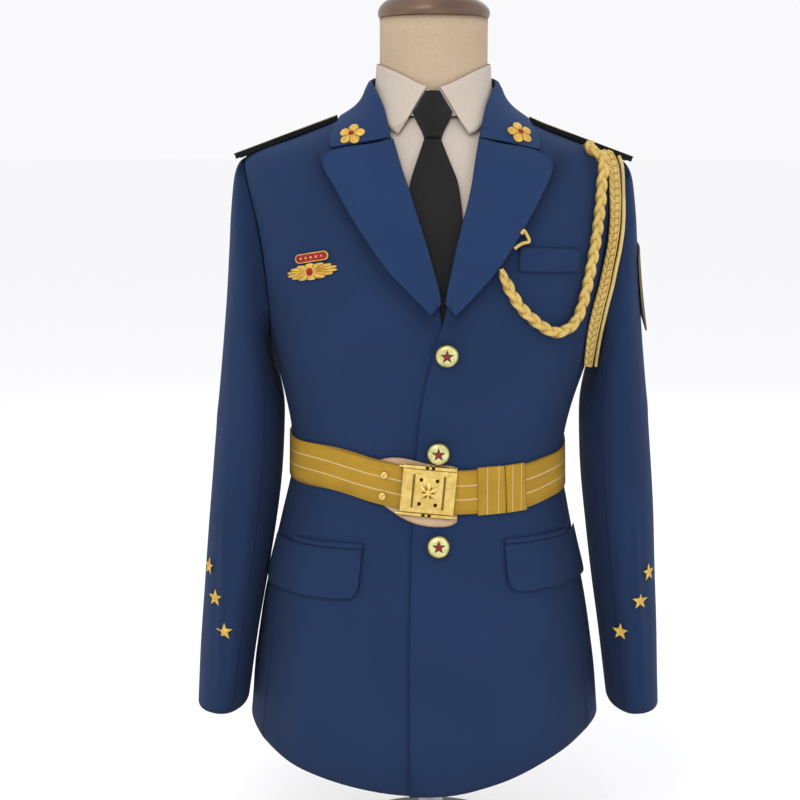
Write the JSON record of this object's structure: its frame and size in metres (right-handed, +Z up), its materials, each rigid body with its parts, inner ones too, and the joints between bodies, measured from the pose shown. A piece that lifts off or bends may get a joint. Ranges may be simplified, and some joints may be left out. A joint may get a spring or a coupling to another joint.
{
  "type": "honor guard uniform on a dress form",
  "caption": "Belted blue dress jacket with peak lapels, shirt, tie, gold cord and shoulder boards, worn by a limbless dress form on a round stand.",
  "frame": {"origin": "middle of the underside of the stand's round base", "axes": "+Z up along the pole, -Y the way the wearer faces, +X the wearer's left"},
  "size_m": [0.584, 0.295, 1.1033],
  "materials": {
    "jacket_cloth": "woven wool blend, royal blue",
    "shirt_cloth": "off-white cotton poplin",
    "tie_cloth": "black ribbed tie cloth",
    "gold_metal": "polished and lacquered",
    "belt_webbing": "golden yellow ribbed webbing",
    "tab_leather": "smooth tan leather",
    "board_cloth": "black felt over a stiff core",
    "gold_cord": "golden yellow braided cord",
    "form_linen": "beige linen cover",
    "cap_wood": "turned and varnished",
    "stand_steel": "black satin paint"
  },
  "bodies": {
    "root": {"front_right": "jacket_cloth", "front_left": "jacket_cloth", "side_body_right": "jacket_cloth", "side_body_left": "jacket_cloth", "back_right": "jacket_cloth", "back_left": "jacket_cloth", "lapel_right": "jacket_cloth", "lapel_left": "jacket_cloth", "top_sleeve_right": "jacket_cloth", "top_sleeve_left": "jacket_cloth", "under_sleeve_right": "jacket_cloth", "under_sleeve_left": "jacket_cloth", "collar": "jacket_cloth", "pocket_flap_right": "jacket_cloth", "pocket_flap_left": "jacket_cloth", "pocket_jet_right": "jacket_cloth", "pocket_jet_left": "jacket_cloth", "chest_welt": "jacket_cloth", "shirt_front_right": "shirt_cloth", "shirt_front_left": "shirt_cloth", "shirt_back_right": "shirt_cloth", "shirt_back_left": "shirt_cloth", "shirt_collar_stand": "shirt_cloth", "shirt_collar_leaf": "shirt_cloth", "tie_knot": "tie_cloth", "tie_blade": "tie_cloth", "button_top": "gold_metal", "button_middle": "gold_metal", "button_bottom": "gold_metal", "cuff_star_right_1": "gold_metal", "cuff_star_right_2": "gold_metal", "cuff_star_right_3": "gold_metal", "cuff_star_left_1": "gold_metal", "cuff_star_left_2": "gold_metal", "cuff_star_left_3": "gold_metal", "collar_device_right": "gold_metal", "collar_device_left": "gold_metal", "badge_spray": "gold_metal", "badge_bar": "gold_metal", "buckle_plate": "gold_metal", "rivet_upper": "gold_metal", "rivet_lower": "gold_metal", "belt_strap": "belt_webbing", "belt_keeper_inner": "belt_webbing", "belt_keeper_outer": "belt_webbing", "buckle_tab": "tab_leather", "shoulder_board_right": "board_cloth", "shoulder_board_left": "board_cloth", "arm_patch": "board_cloth", "plait_cord": "gold_cord", "edge_cord": "gold_cord", "lapel_loop": "gold_cord", "braid_band": "gold_cord", "form_torso": "form_linen", "form_neck_cap": "cap_wood", "stand_base": "stand_steel", "stand_pole": "stand_steel"}
  },
  "joints": []
}
